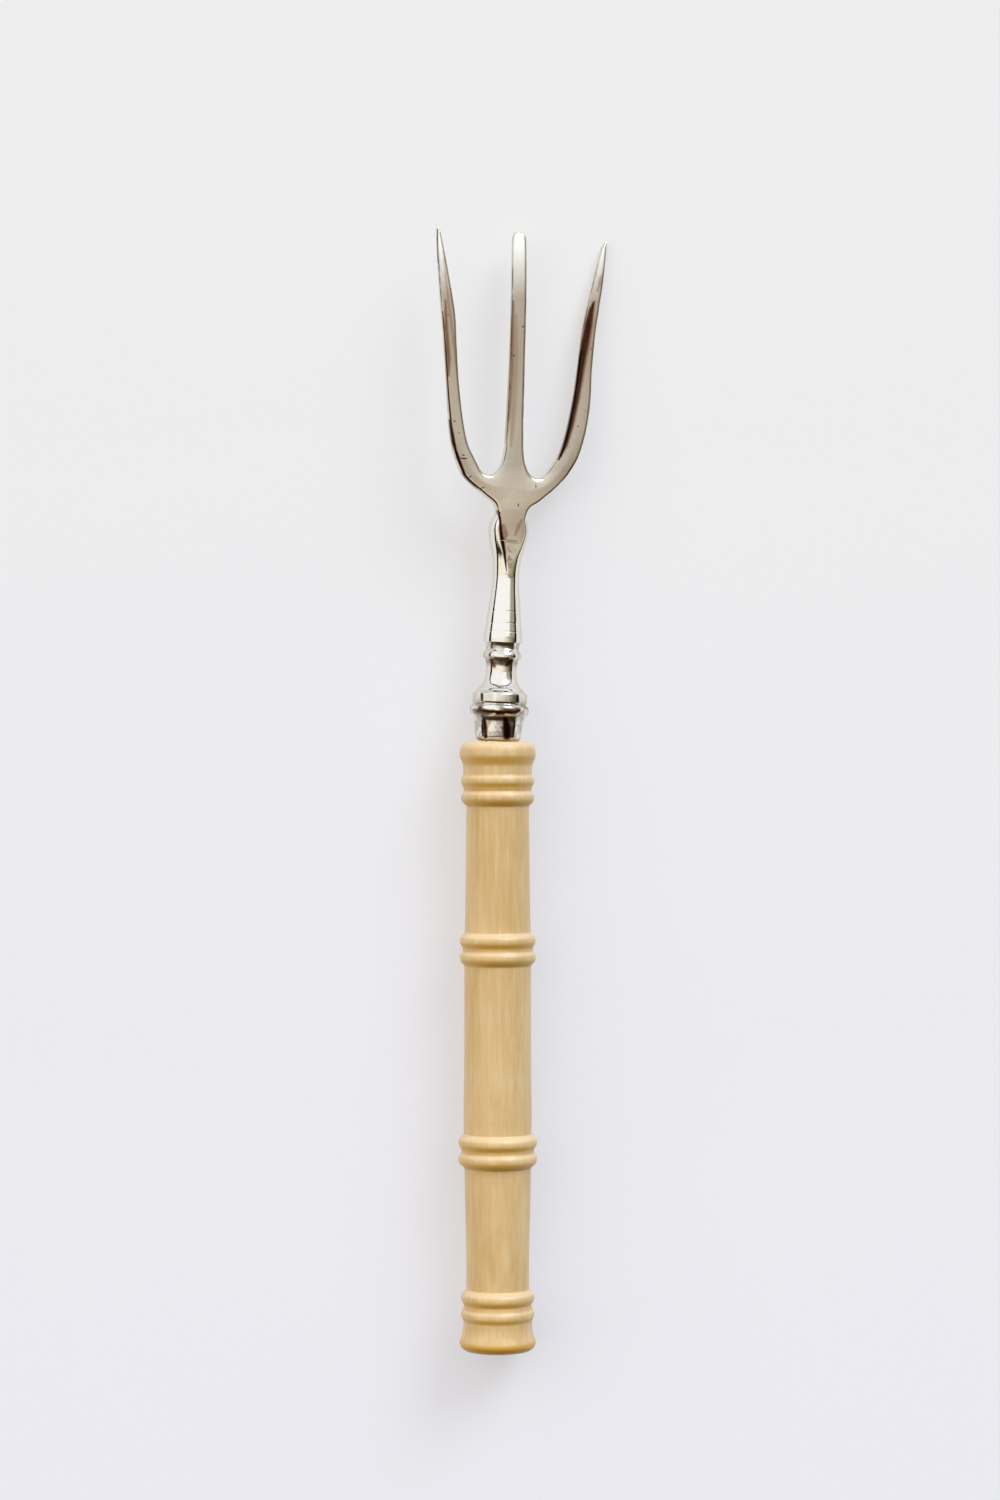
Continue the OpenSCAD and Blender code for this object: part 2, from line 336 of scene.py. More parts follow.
def simplified(rows, slack):
    # fewer rows, none further than the slack from the ones left out
    keep = {0, len(rows) - 1}
    spans = [(0, len(rows) - 1)]
    while spans:
        a, b = spans.pop()
        (ya, ra), (yb, rb) = rows[a], rows[b]
        worst, at = 0, None
        for i in range(a + 1, b):
            y, r = rows[i]
            gap = abs(r - (ra + (rb - ra) * (y - ya) / (yb - ya)))
            if gap > worst:
                worst, at = gap, i
        if at is not None and worst > slack:
            keep.add(at)
            spans += [(a, at), (at, b)]
    return [rows[i] for i in sorted(keep)]


def evened(rows, most):
    # no two rows further apart than the most
    out = [rows[0]]
    for (y0, r0), (y1, r1) in zip(rows, rows[1:]):
        parts = max(1, math.ceil((y1 - y0) / most))
        out += [(y0 + (y1 - y0) * k / parts, r0 + (r1 - r0) * k / parts) for k in range(1, parts + 1)]
    return out


def turnedRows(widthOf, piece):
    # the outline of a turned piece, with rows where its curves and the marks on it need them
    rows = sampled(widthOf, piece["length"], piece["step"], piece["soften"])
    return evened(simplified(rows, piece["slack"]), piece["rowsApart"])


def hollows(rows, reach):
    # for each row, how far it lies below what stands within reach on both of its sides
    out = []
    for y, r in rows:
        before = max([q for p, q in rows if y - reach <= p <= y])
        after = max([q for p, q in rows if y <= p <= y + reach])
        out.append(min(before, after) - r)
    return out


def underHang(rows, steep):
    # 1 where the outline faces down towards its start and -1 where it faces up
    out = []
    for i in range(len(rows)):
        (y0, r0), (y1, r1) = rows[max(i - 1, 0)], rows[min(i + 1, len(rows) - 1)]
        out.append(clipped((r1 - r0) / max(y1 - y0, tiny) / steep, -1))
    return out


def toSegment(x, y, a, b):
    # how far along the line from a to b the place nearest to x, y lies, as a share, and how far off it is
    dx, dy = b[0] - a[0], b[1] - a[1]
    t = clipped(((x - a[0]) * dx + (y - a[1]) * dy) / (dx * dx + dy * dy))
    return t, math.hypot(x - a[0] - t * dx, y - a[1] - t * dy)


# Strokes lay grime and painted reflection on the metal, as seen from above.
grimeAndReflectionSolid = 1.35  # above 1, so that a stroke of grime is solid along its middle


def grimeAndReflectionAt(x, y, strokes):
    # how dark the grime and painted reflection are at a place seen from above, from strokes of
    # (strength, line of (x, y, half width))
    dark = 0
    for strong, line in strokes:
        for a, b in zip(line, line[1:]):
            most = max(a[2], b[2])
            if not min(a[1], b[1]) - most < y < max(a[1], b[1]) + most:
                continue
            t, off = toSegment(x, y, a, b)
            near = 1 - off / (a[2] + (b[2] - a[2]) * t)
            dark = max(dark, strong * softly(grimeAndReflectionSolid * near))
    return dark


def grimeAndReflectionOnTop(points, strokes):
    # the same for every point of a turned piece, and none on its lower side
    return [grimeAndReflectionAt(p.x, p.y, strokes) if p.z > 0 else 0 for p in points]


def mark(mesh, label, values):
    # keeps a number at every point, for the finish to read
    mesh.attributes.new(label, "FLOAT", "POINT").data.foreach_set("value", values)


def addPiece(name, points, faces, sharp, marks):
    # a mesh in metres from points in millimetres, smooth but for edges that turn by more than this angle
    mesh = bpy.data.meshes.new(name)
    mesh.from_pydata([tuple(c * mm for c in p) for p in points], [], faces)
    for label, values in marks.items():
        mark(mesh, label, values)
    mesh.validate()
    work = bmesh.new()
    work.from_mesh(mesh)
    bmesh.ops.recalc_face_normals(work, faces=work.faces)
    work.to_mesh(mesh)
    work.free()
    mesh.shade_smooth()
    mesh.set_sharp_from_angle(angle=math.radians(sharp))
    added = bpy.data.objects.new(name, mesh)
    scene.collection.objects.link(added)
    return added


def turnedPiece(name, outline, piece, marks, closed=False, move=None):
    # turns an outline of (y, half width) about the Y axis; a half width of 0 becomes one point
    around = piece["around"]
    points, rings, values = [], [], {label: [] for label in marks}
    for i, (y, r) in enumerate(outline):
        count = around if r > tiny else 1
        rings.append(range(len(points), len(points) + count))
        for k in range(count):
            turn = 2 * math.pi * k / around
            points.append(Vector((r * math.cos(turn), y, r * math.sin(turn))))
        for label in values:
            values[label] += [marks[label][i]] * count
    faces = []
    pairs = list(zip(rings, rings[1:])) + ([(rings[-1], rings[0])] if closed else [])
    for a, b in pairs:
        for k in range(around):
            n = (k + 1) % around
            corner = [a[k % len(a)], a[n % len(a)], b[n % len(b)], b[k % len(b)]]
            face = [v for j, v in enumerate(corner) if v not in corner[:j]]
            if len(face) > 2:
                faces.append(face)
    if move:
        points = [move(p) for p in points]
    return addPiece(name, points, faces, piece["sharp"], values)


# The handle, in millimetres from its butt: pairs of rings like the nodes of a cane. In every piece, rows
# are shares of its length and of a width, and step to rowsApart say how finely its outline is followed.
handle = {
    "length": 86.7, "grip": 9.7, "flange": 10.88, "cove": 9.8, "coveEnd": 0.042, "lip": 1.1,
    "buttLipLong": 1.3, "topLipLong": 1.8, "buttFlare": 1.8, "buttRings": (0, 0.5, 0.93),
    "pairs": [(0.0731, 10.45), (0.3279, 11.2), (0.659, 10.85), (0.9216, 10.45)],
    "ringRound": 1.15, "pitch": 2.4, "groove": 0.42, "hole": 3.8, "holeDeep": 58,
    "gripRows": [
        (0.0731, 0.925), (0.16, 0.925), (0.24, 0.962), (0.3, 0.978), (0.3279, 0.99), (0.4, 1),
        (0.51, 0.979), (0.659, 0.982), (0.715, 0.957), (0.79, 0.94), (0.88, 0.922), (0.9216, 0.925),
    ],
    # The next line sets the painted shade on the butt's edge, and how steep a ring's side must be to be
    # shaded in full.
    "pool": {"long": 1.1, "atButt": 2.2, "fall": 1.4, "least": -1, "most": 1.6}, "hangSlope": 0.8,
    "step": 0.05, "soften": 0.2, "slack": 0.0025, "rowsApart": 1.2, "hollowReach": 1.4,
    "curveSteps": 6, "around": 160, "sharp": 50,
}
gripCurve = smoothThrough(sized(handle, "grip"), handle["curveSteps"])


def handleWidth(y):
    long, lip = handle["length"], handle["lip"]
    atButt = y < long / 2
    fromEnd = min(y, long - y)
    lipLong = handle["buttLipLong"] if atButt else handle["topLipLong"]
    flange, cove = handle["flange"] / 2, handle["cove"] / 2
    coveEnd = handle["coveEnd"] * long
    if fromEnd < lipLong:
        return flange - lip + lip * math.sqrt(max(1 - (1 - fromEnd / lipLong) ** 2, 0))
    taper = 0
    if fromEnd < coveEnd:
        part = (fromEnd - lipLong) / (coveEnd - lipLong)
        flare = (1 - part) ** handle["buttFlare"] if atButt else (1 + math.cos(math.pi * part)) / 2
        taper = cove + (flange - cove) * flare
    body = widthAt(gripCurve, y) if gripCurve[0][0] <= y <= gripCurve[-1][0] else cove
    widths = [taper, body]
    for share, width in handle["pairs"]:
        middle, apart = share * long, handle["pitch"] / 2
        for ring in (middle - apart, middle + apart):
            widths.append(discAt(y, ring, width / 2, handle["ringRound"]))
        if abs(y - middle) < apart:
            widths.append(width / 2 - handle["groove"])
    return max(widths)


def buttShadeAt(y):
    # how much painted shade lies on the butt's edge at y
    pool = handle["pool"]
    return clipped(pool["atButt"] - pool["fall"] * y / pool["long"], pool["least"], pool["most"])


gripRows = turnedRows(handleWidth, handle)
# Painted shade on the butt's edge and on the sides of the rings that face the butt; where below 0, the sides
# facing the tines get a painted highlight.
buttShade = [buttShadeAt(y) for y, _ in gripRows]
gripShadedUnderside = [max(pair) for pair in zip(underHang(gripRows, handle["hangSlope"]), buttShade)]
buttFace = [(0, share * gripRows[0][1]) for share in handle["buttRings"]]
holeFloor = handle["length"] - handle["holeDeep"]
bore = handle["hole"] / 2
topFace = [(gripRows[-1][0], bore), (holeFloor, bore), (holeFloor, 0)]
grip = turnedPiece(
    "turnedHandle", buttFace + gripRows + topFace, handle,
    {
        "hollow": [0] * len(buttFace) + hollows(gripRows, handle["hollowReach"]) + [0] * len(topFace),
        "pooled": [buttShade[0]] * len(buttFace) + gripShadedUnderside + [0] * len(topFace),
    },
)
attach(grip, "root")
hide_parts("handle")
print("handle turned:", len(grip.data.vertices), "points")

# The leaning, rolled line that the metal follows, and the thickness and bend of the head along it.
metal = {"lean": 3, "filed": 1.92, "step": 0.12, "palm": 2.0, "tip": 0.7, "drop": 1.6, "power": 2.2}
head = {
    "length": 40, "width": 25.4, "off": 0.05, "tongue": 4.4, "tongueWidth": 3, "curveSteps": 8,
    "rightRows": [
        (0.147, -0.085), (0.15, -0.04), (0.2, 0.008), (0.331, 0.041), (0.551, 0.107), (0.717, 0.185),
        (0.815, 0.283), (0.862, 0.4), (0.87, 0.53), (0.898, 0.66), (0.96, 0.82), (0.996, 0.94), (1, 1),
    ],
    "leftRows": [
        (0.147, -0.085), (0.15, -0.03), (0.19, 0.016), (0.331, 0.05), (0.567, 0.109), (0.69, 0.19),
        (0.755, 0.28), (0.797, 0.395), (0.85, 0.55), (0.903, 0.68), (0.955, 0.83), (0.985, 0.95),
        (0.985, 1),
    ],
}
stem = {"length": 18.9, "bolster": 14.1}

palmTop = metal["filed"] - metal["step"]
palmLow = palmTop - metal["palm"]
stemEnd = stem["bolster"] + stem["length"]
lean = math.radians(metal["lean"])
tipLow = (palmTop + palmLow) / 2 - metal["drop"] - metal["tip"] / 2
tipOut = (head["width"] / 2 - head["off"]) * math.cos(lean) + (stemEnd + head["length"]) * math.sin(lean)
roll = math.asin(handle["flange"] / 2 / math.hypot(tipOut, tipLow)) + math.atan2(tipLow, tipOut)
rolled = Matrix.Rotation(roll, 4, "Y") @ Matrix.Translation((0, handle["length"], 0))
leaning = rolled @ Matrix.Rotation(-lean, 4, "Z")
unleaning = leaning.inverted()


def onHandle(point):
    # a point of the leaning metal, faced off where it would dip into the handle
    moved = leaning @ point
    moved.y = max(moved.y, handle["length"])
    return moved


# The bolster, from its foot up. Its strokes of grime and painted reflection are set out as seen from above.
bolster = {
    "length": stem["bolster"], "foot": 6.5, "ring": 8.4, "band": 7.8, "waist": 4.35, "collar": 5.5,
    "footRound": 0.8, "ringAt": 0.32, "ringRound": 0.92, "bore": 3.06,
    "footRows": [(0.057, 1), (0.21, 1.07), (0.25, 1.12), (0.32, 1.12)],
    "bandRows": [(0.33, 0.97), (0.385, 0.97), (0.395, 1), (0.478, 1), (0.492, 0.97), (0.51, 0.88)],
    "waistRows": [
        (0.51, 1.58), (0.53, 1.5), (0.555, 1.33), (0.59, 1.17), (0.64, 1.06),
        (0.7, 1), (0.76, 1.01), (0.8, 1.05), (0.835, 1.1),
    ],
    "collarRows": [
        (0.835, 0.9), (0.845, 1), (0.875, 1), (0.9, 0.96), (0.92, 0.88),
        (0.935, 0.84), (0.965, 0.855), (0.985, 0.88), (1, 0.9),
    ],
    "dulledRows": [
        (0, 0.5), (0.2, 0.5), (0.27, 0.9), (0.36, 0.9), (0.42, 0.3), (0.5, 0.2), (0.6, 0.05),
        (0.74, 0.1), (0.8, 0.8), (0.85, 0.3), (0.9, 0.3), (1, 0.7),
    ],
    "strokes": [
        (0.94, [(1.1, 89.9, 0.5), (1.3, 88.7, 1.0), (1.3, 87.5, 0.9)]),
        (0.86, [(-1.9, 89.8, 0.35), (-1.75, 88.5, 0.5), (-1.7, 87.4, 0.4)]),
        (0.85, [(-0.1, 90.7, 0.35), (0.7, 90.7, 0.4)]),
        (0.5, [(-2.9, 91.1, 0.5), (-1.6, 90.8, 0.7), (-0.6, 91, 0.4)]),
        (0.5, [(0.5, 91.3, 0.5), (1.8, 90.9, 0.75), (3, 91.2, 0.5)]),
        (0.6, [(-1, 98.3, 0.45), (-0.5, 97.4, 0.4)]),
        (0.7, [(2, 98.3, 0.4), (1.3, 97.6, 0.4)]),
    ],
    "step": 0.02, "soften": 0.06, "slack": 0.002, "rowsApart": 0.25, "hollowReach": 0.9,
    "curveSteps": 5, "around": 144, "sharp": 38,
}
bolsterLine = (
    sized(bolster, "foot") + sized(bolster, "band")
    + smoothThrough(sized(bolster, "waist"), bolster["curveSteps"]) + sized(bolster, "collar")
)


def bolsterWidth(y):
    foot, edge = bolster["foot"] / 2, bolster["footRound"]
    if y < edge:
        return discAt(y, edge, foot, edge) if y > 0 else foot - edge
    ring = discAt(y, bolster["ringAt"] * bolster["length"], bolster["ring"] / 2, bolster["ringRound"])
    return max(widthAt(bolsterLine, y), ring)


bolsterRows = turnedRows(bolsterWidth, bolster)
bolsterDulled = [widthAt(bolster["dulledRows"], y / bolster["length"]) for y, _ in bolsterRows]
footDip = bolster["foot"] / 2 * math.tan(lean)
footInner = bolster["foot"] / 2 - bolster["footRound"]
bore = bolster["bore"] / 2
boreRows = [(bolster["length"], bore), (-footDip, bore), (-footDip, footInner)]
turnedBolster = turnedPiece(
    "turnedBolster", bolsterRows + boreRows, bolster,
    {
        "hollow": hollows(bolsterRows, bolster["hollowReach"]) + [0] * len(boreRows),
        "dulled": bolsterDulled + [0] * len(boreRows),
    },
    closed=True, move=onHandle,
)
placed = [vertex.co / mm for vertex in turnedBolster.data.vertices]
mark(turnedBolster.data, "grime", grimeAndReflectionOnTop(placed, bolster["strokes"]))
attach(turnedBolster, "root")
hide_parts("bolster")
print("bolster turned:", len(turnedBolster.data.vertices), "points")

# The stem, from its cuff up to the flat filed on its flared end, and the rod and tang below it.
stem.update({
    "cuff": 5.5, "slim": 3.78, "flare": 5.7, "solder": 0.1,
    "tang": 2.8, "tangLength": 55, "tangTop": 0.2, "tangStep": 0.5, "shoulder": 0.1, "rodFrom": 0.1,
    "keys": [0.12, 0.27, 0.42, 0.57, 0.72, 0.87], "keyRound": 0.35, "keyReach": 0.6, "keyStep": 0.1,
    "lines": [0.08, 0.145, 0.235], "lineRound": 0.09, "lineDepth": 0.22,
    "runOut": (0.36, 0.64), "runOutTop": 1.2, "flush": 0.04, "notchEdge": 0.004, "slotMost": 0.96,
    "corner": 24, "cornerShare": 0.25, "cheek": 0.05, "cheekMost": 0.99, "noSlot": 0.75, "wallLean": 0.01,
    "cuffRows": [(0, 1), (0.041, 1), (0.086, 0.97), (0.131, 0.927), (0.177, 0.9)],
    "slimRows": [
        (0.222, 1.265), (0.31, 1.165), (0.4, 1.055), (0.493, 1), (0.584, 1.03), (0.65, 1.115),
        (0.719, 1.295),
    ],
    "flareRows": [
        (0.77, 0.935), (0.82, 0.99), (0.86, 1), (0.905, 0.95), (0.95, 0.82), (0.98, 0.64), (1, 0.4),
    ],
    # Strokes of grime and painted reflection, set out as seen from above.
    "strokes": [
        (1.0, [
            (0.47, 115.73, 0.28), (0.69, 115.02, 0.43), (0.94, 113.6, 0.33), (1.1, 112.32, 0.23),
            (1.24, 110.9, 0.07),
        ]),
        (0.34, [(1.04, 115.1, 0.13), (2.03, 114.98, 0.18), (3.17, 114.91, 0.13)]),
        (0.28, [(1.04, 110.62, 0.11), (1.61, 110.34, 0.23), (2.03, 110.05, 0.11)]),
        (0.4, [(1.47, 114.17, 0.11), (1.89, 113.6, 0.14)]),
        (0.34, [(1.62, 113, 0.3), (1.72, 112.3, 0.5), (1.8, 111.5, 0.3)]),
    ],
    "step": 0.03, "soften": 0.03, "slack": 0.0015, "rowsApart": 0.12, "hollowReach": 0.4,
    "curveSteps": 8, "landPoints": 10, "floorPoints": 36, "arcPoints": 120, "sharp": 38,
})
stemLine = smoothThrough(
    sized(stem, "cuff") + sized(stem, "slim") + sized(stem, "flare"), stem["curveSteps"]
)
notch = stemEnd - head["tongue"] - stem["solder"] - stem["bolster"]
slotFloor = palmLow - stem["solder"]
unfiled = 99  # a height for the flat that lies above all of the metal


def stemWidth(y):
    width = widthAt(stemLine, y)
    for share in stem["lines"]:
        off = abs(y - share * stem["length"])
        if off < stem["lineRound"]:
            width -= math.sqrt(stem["lineRound"] ** 2 - off ** 2) * stem["lineDepth"]
    return width


def spread(first, last, parts):
    return [first + (last - first) * k / parts for k in range(parts + 1)]


def section(width, top, toWorld, slot=(0, 0)):
    # a circle of this half width, flat above the top, its corners a little eased, and cut down inside the
    # slot between its right and left sides; all rings have their points in the same order
    chord = math.sqrt(max(width ** 2 - top ** 2, 0))
    wide = chord
    if top > 0:
        besideSlot = min(max(slot) + stem["cheek"], width * stem["cheekMost"])
        wide = max(chord + (width - chord) * stem["cornerShare"], width / 2, besideSlot)
    right, left = (side or wide * stem["noSlot"] for side in slot)

    def height(x):
        rise = math.sqrt(max(width ** 2 - x ** 2, tiny))
        power = stem["corner"]
        return top if top < 0 else (rise ** -power + top ** -power) ** (-1 / power)

    lands, floors, arcs = stem["landPoints"], stem["floorPoints"], stem["arcPoints"]
    wall = stem["wallLean"]
    ring = [(x, height(x)) for x in spread(wide, right + wall, lands)]
    ring += [(x, slotFloor if any(slot) else height(x)) for x in spread(right, -left, floors)]
    ring += [(-x, height(x)) for x in spread(left + wall, wide, lands)]
    corner = math.atan2(height(wide), wide)
    for k in range(1, arcs):
        turn = math.pi - corner + (math.pi + 2 * corner) * k / arcs
        ring.append((width * math.cos(turn), width * math.sin(turn)))
    return [toWorld(x, z) for x, z in ring]


def planned(rows, side):
    # one side of the head's outline, in millimetres
    rows = [(side * x * head["width"] / 2, y * head["length"]) for x, y in rows]
    return smoothThrough(rows, head["curveSteps"])


def tongueSide(side, y):
    # how far the head reaches to one side at a height above the bolster
    rows = [(-head["tongue"], head["tongueWidth"] / 2)]
    rows += [(b, a) for a, b in planned(head[side + "Rows"], 1)]
    return widthAt(rows, y - stem["length"])


def alongMetal(y):
    return lambda x, z: leaning @ Vector((x, y, z))


def alongHandle(y):
    return lambda x, z: Vector((x, y, z))


rings = []
tangRadius = stem["tang"] / 2
keyRound = stem["keyRound"]
keyPlaces = [handle["length"] - share * stem["tangLength"] for share in stem["keys"]]
y = handle["length"] - stem["tangLength"]
while y < handle["length"] - stem["tangTop"]:
    radius = tangRadius
    off = min(abs(y - key) for key in keyPlaces)
    if off < keyRound:
        radius = min(radius, tangRadius + keyRound / 2 - math.sqrt(keyRound ** 2 - off ** 2))
    rings.append(section(radius, unfiled, alongHandle(y)))
    y += stem["keyStep"] if off < stem["keyReach"] else stem["tangStep"]
for y in (stem["rodFrom"], stem["bolster"]):
    rings.append(section(tangRadius + stem["shoulder"], unfiled, alongMetal(y)))
stemHollows = [0.0] * len(rings)
stemRows = turnedRows(stemWidth, stem)
notchWidth = widthAt(stemRows, notch)
stemRows = sorted(stemRows + [(notch + side * stem["notchEdge"], notchWidth) for side in (-1, 1)])
runOutFrom, runOutTo = (s * stem["length"] for s in stem["runOut"])
for (y, width), depth in zip(stemRows, hollows(stemRows, stem["hollowReach"])):
    top, slot = unfiled, (0, 0)
    if y > runOutFrom:
        # the file's stroke runs out of the metal over a short ramp
        part = softly((y - runOutFrom) / (runOutTo - runOutFrom))
        top = width * stem["runOutTop"] * (1 - part) + (palmTop + stem["flush"]) * part
    if y > notch:
        slot = (tongueSide("right", y) - head["off"], tongueSide("left", y) + head["off"])
        if max(slot) > width * stem["slotMost"]:
            top, slot = slotFloor, (0, 0)
    rings.append(section(width, top, alongMetal(stem["bolster"] + y), slot))
    stemHollows.append(depth)
points = [p for ring in rings for p in ring]
count = len(rings[0])
faces = []
for a in range(0, len(points) - count, count):
    b = a + count
    faces += [(a + k, a + (k + 1) % count, b + (k + 1) % count, b + k) for k in range(count)]
faces += [tuple(range(count)), tuple(range(len(points) - count, len(points)))]
marks = {
    "hollow": [h for h in stemHollows for _ in range(count)],
    "grime": grimeAndReflectionOnTop(points, stem["strokes"]),
}
turnedStem = addPiece("turnedStem", points, faces, stem["sharp"], marks)
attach(turnedStem, "root")
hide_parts("stem")
print("stem turned:", len(turnedStem.data.vertices), "points")

# The head: its rounded edges, its net of points, the rest of its outline as shares of half its width and
# of its length, and its strokes of grime and painted reflection, set out as seen from above.
head.update({
    "edge": 0.3, "edgeDrop": 0.22, "dropMost": 0.6, "fallMost": 0.9, "crown": 0.05, "crownReach": 0.9,
    "scoop": 0.6, "scoopDrop": 0.42, "scoopAt": (3.6, 4.9), "scoopReach": 2.3,
    "crisp": {"long": 1.6, "drop": 0.85, "reach": 0.5},
    "rim": {"start": 0.03, "end": 0.24, "fade": 0.14, "neck": 1.5, "atPalm": 8, "fall": 8.3, "least": 0.25},
    "spacing": 0.15, "closest": 0.45, "closestToFirst": 0.3, "weld": 1e-5, "sharp": 60,
    "rings": [0.03, 0.08, 0.16, 0.27, 0.42, 0.62], "ringShare": 0.96,
    "grid": 0.22, "gridRows": 0.87, "gridGap": 0.12,
    "fine": {"widest": 0.3, "spacing": 0.16, "across": (-1, -0.5, 0, 0.5, 1), "inset": 0.05},
    "slotRows": [
        (0.94, 0.97), (0.888, 0.9), (0.795, 0.7625), (0.742, 0.67), (0.715, 0.57), (0.68, 0.45),
        (0.64, 0.36), (0.598, 0.288), (0.547, 0.225), (0.488, 0.1875), (0.417, 0.15), (0.354, 0.127),
        (0.283, 0.119), (0.2165, 0.127), (0.157, 0.1475), (0.12, 0.178), (0.1, 0.225),
    ],
    "centreRight": [(0.088, 0.32), (0.08, 0.55), (0.075, 0.75), (0.06, 0.94), (0.045, 0.985), (0, 0.997)],
    "centreLeft": [
        (-0.098, 0.32), (-0.093, 0.55), (-0.1, 0.75), (-0.108, 0.94), (-0.1, 0.985), (-0.06, 0.997),
    ],
    "strokes": [
        (0.82, [
            (13.83, 149.83, 0.21), (13.47, 148.7, 0.57), (12.97, 146.28, 0.92), (12.55, 144.01, 0.99),
            (12.12, 141.88, 0.99), (11.63, 138.89, 0.95), (11.05, 135.34, 0.86), (10.35, 131.93, 0.78),
            (9.55, 128.95, 0.6), (8.7, 126.96, 0.2),
        ]),
        (1.0, [
            (11.98, 142.73, 0.2), (11.48, 140.03, 0.72), (10.94, 136.76, 0.88), (10.34, 133.21, 0.86),
            (9.68, 129.8, 0.66), (8.98, 127.38, 0.2),
        ]),
        (0.35, [(14.89, 153.81, 0.14), (14.68, 152.67, 0.43), (14.32, 151.4, 0.21)]),
        (0.5, [
            (-7.41, 149.26, 0.2), (-7.3, 145.71, 0.4), (-7.16, 142.87, 0.55), (-7.03, 141.02, 0.6),
            (-7, 138.5, 0.25),
        ]),
        (0.85, [
            (-7.78, 147.56, 0.1), (-7.36, 141.88, 0.16), (-6.92, 135.34, 0.17), (-6.57, 131.5, 0.21),
            (-5.92, 127.95, 0.27), (-4.53, 124.12, 0.28), (-2.37, 121.91, 0.27), (0.32, 119.14, 0.18),
        ]),
        (1.0, [
            (-6.84, 132.22, 0.11), (-6.42, 129.37, 0.21), (-5.64, 126.82, 0.26), (-4.5, 123.97, 0.23),
            (-2.37, 121.84, 0.2), (0.05, 119.36, 0.17),
        ]),
        (0.28, [(-7.7, 156.37, 0.11), (-6.92, 148.41, 0.32), (-6.28, 144.01, 0.3), (-5.78, 138.89, 0.14)]),
        (0.8, [(-8.54, 159.49, 0.1), (-8.62, 156.65, 0.17), (-8.48, 154.66, 0.09)]),
        (0.46, [
            (2.25, 149.5, 0.2), (1.96, 143.16, 0.6), (1.84, 138.89, 0.62), (1.61, 134.49, 0.5),
            (1.32, 130.79, 0.25), (0.97, 127.95, 0.09),
        ]),
        (0.2, [
            (2.6, 147.5, 0.3), (2.46, 141.88, 0.8), (2.32, 137.19, 0.8), (2.11, 132.22, 0.6),
            (1.89, 128.66, 0.2),
        ]),
        (0.8, [(11.48, 127.38, 0.11), (8.85, 123.12, 0.2), (6.3, 120.99, 0.2), (4.1, 118.86, 0.14)]),
        (1.0, [
            (0.12, 119.43, 0.1), (0.27, 118.58, 0.28), (0.4, 117.16, 0.34), (0.61, 115.45, 0.45),
            (0.76, 114.6, 0.4),
        ]),
        (0.42, [(0.83, 117.44, 0.36), (1.11, 116.16, 0.6), (0.97, 115.31, 0.28)]),
        (0.35, [(3.46, 118.29, 0.21), (2.96, 117.3, 0.48), (2.46, 116.02, 0.21)]),
        (0.8, [(-5.24, 126.84, 0.1), (-4.67, 126.77, 0.17), (-4.36, 126.82, 0.09)]),
        (0.7, [(-4.07, 124.12, 0.09), (-3.72, 124.33, 0.13)]),
        (0.65, [(-2.51, 122.55, 0.09), (-1.94, 122.77, 0.14)]),
        (0.7, [(2.93, 120.56, 0.13), (2.93, 120.14, 0.14)]),
        (0.6, [(-6.13, 132.14, 0.14), (-6.04, 131.93, 0.13)]),
        (0.45, [(5.44, 123.26, 0.13), (5.44, 122.84, 0.13)]),
    ],
})

tongueHalf = head["tongueWidth"] / 2
plan = (
    [(tongueHalf, -head["tongue"])] + planned(head["rightRows"], 1) + planned(head["slotRows"], 1)
    + planned(head["centreRight"], 1) + planned(head["centreLeft"], 1)[::-1]
    + planned(head["slotRows"], -1)[::-1] + planned(head["leftRows"], -1)[::-1]
    + [(-tongueHalf, -head["tongue"])]
)


def respaced(loop, most):
    # the closed loop again, as points about the same distance apart
    out = []
    for a, b in zip(loop, loop[1:] + loop[:1]):
        far = math.dist(a, b)
        parts = max(1, math.ceil(far / most))
        out += [(a[0] + (b[0] - a[0]) * k / parts, a[1] + (b[1] - a[1]) * k / parts) for k in range(parts)]
    kept = [out[0]]
    for point in out[1:]:
        clear = math.dist(point, kept[-1]) > most * head["closest"]
        if clear and math.dist(point, out[0]) > most * head["closestToFirst"]:
            kept.append(point)
    return kept


edgeLoop = respaced(plan, head["spacing"])
edgeCount = len(edgeLoop)
edgeTree = KDTree(edgeCount)
for i, (x, y) in enumerate(edgeLoop):
    edgeTree.insert((x, y, 0), i)
edgeTree.balance()


def offSegment(point, a, b):
    # distance from a point to a segment, above 0 on the metal's side of it
    _, far = toSegment(*point, a, b)
    side = (b[0] - a[0]) * (point[1] - a[1]) - (b[1] - a[1]) * (point[0] - a[0])
    return far if side > 0 else -far


def inFromEdge(point):
    # how far in from the outline a point of the plan lies, below 0 outside it
    _, i, _ = edgeTree.find((*point, 0))
    near = [edgeLoop[(i + k) % edgeCount] for k in (-2, -1, 0, 1, 2)]
    return min((offSegment(point, a, b) for a, b in zip(near, near[1:])), key=abs)


def bent(share):
    # height of the middle of the metal at a share of the head's length
    return (palmTop + palmLow) / 2 - metal["drop"] * max(share, 0) ** metal["power"]


def thinned(share):
    # thickness of the metal there
    return metal["palm"] + (metal["tip"] - metal["palm"]) * max(share, 0)


def onPlan(x, y):
    # where on the head's plan a place seen from above lies; four rounds settle its height
    top = palmTop
    for _ in range(4):
        foot, rise = unleaning @ Vector((x, y, 0)), unleaning.to_3x3() @ Vector((0, 0, 1))
        spot = foot + rise * (top - foot.z) / rise.z
        share = (spot.y - stemEnd) / head["length"]
        top = bent(share) + thinned(share) / 2
    return spot.x + head["off"], spot.y - stemEnd


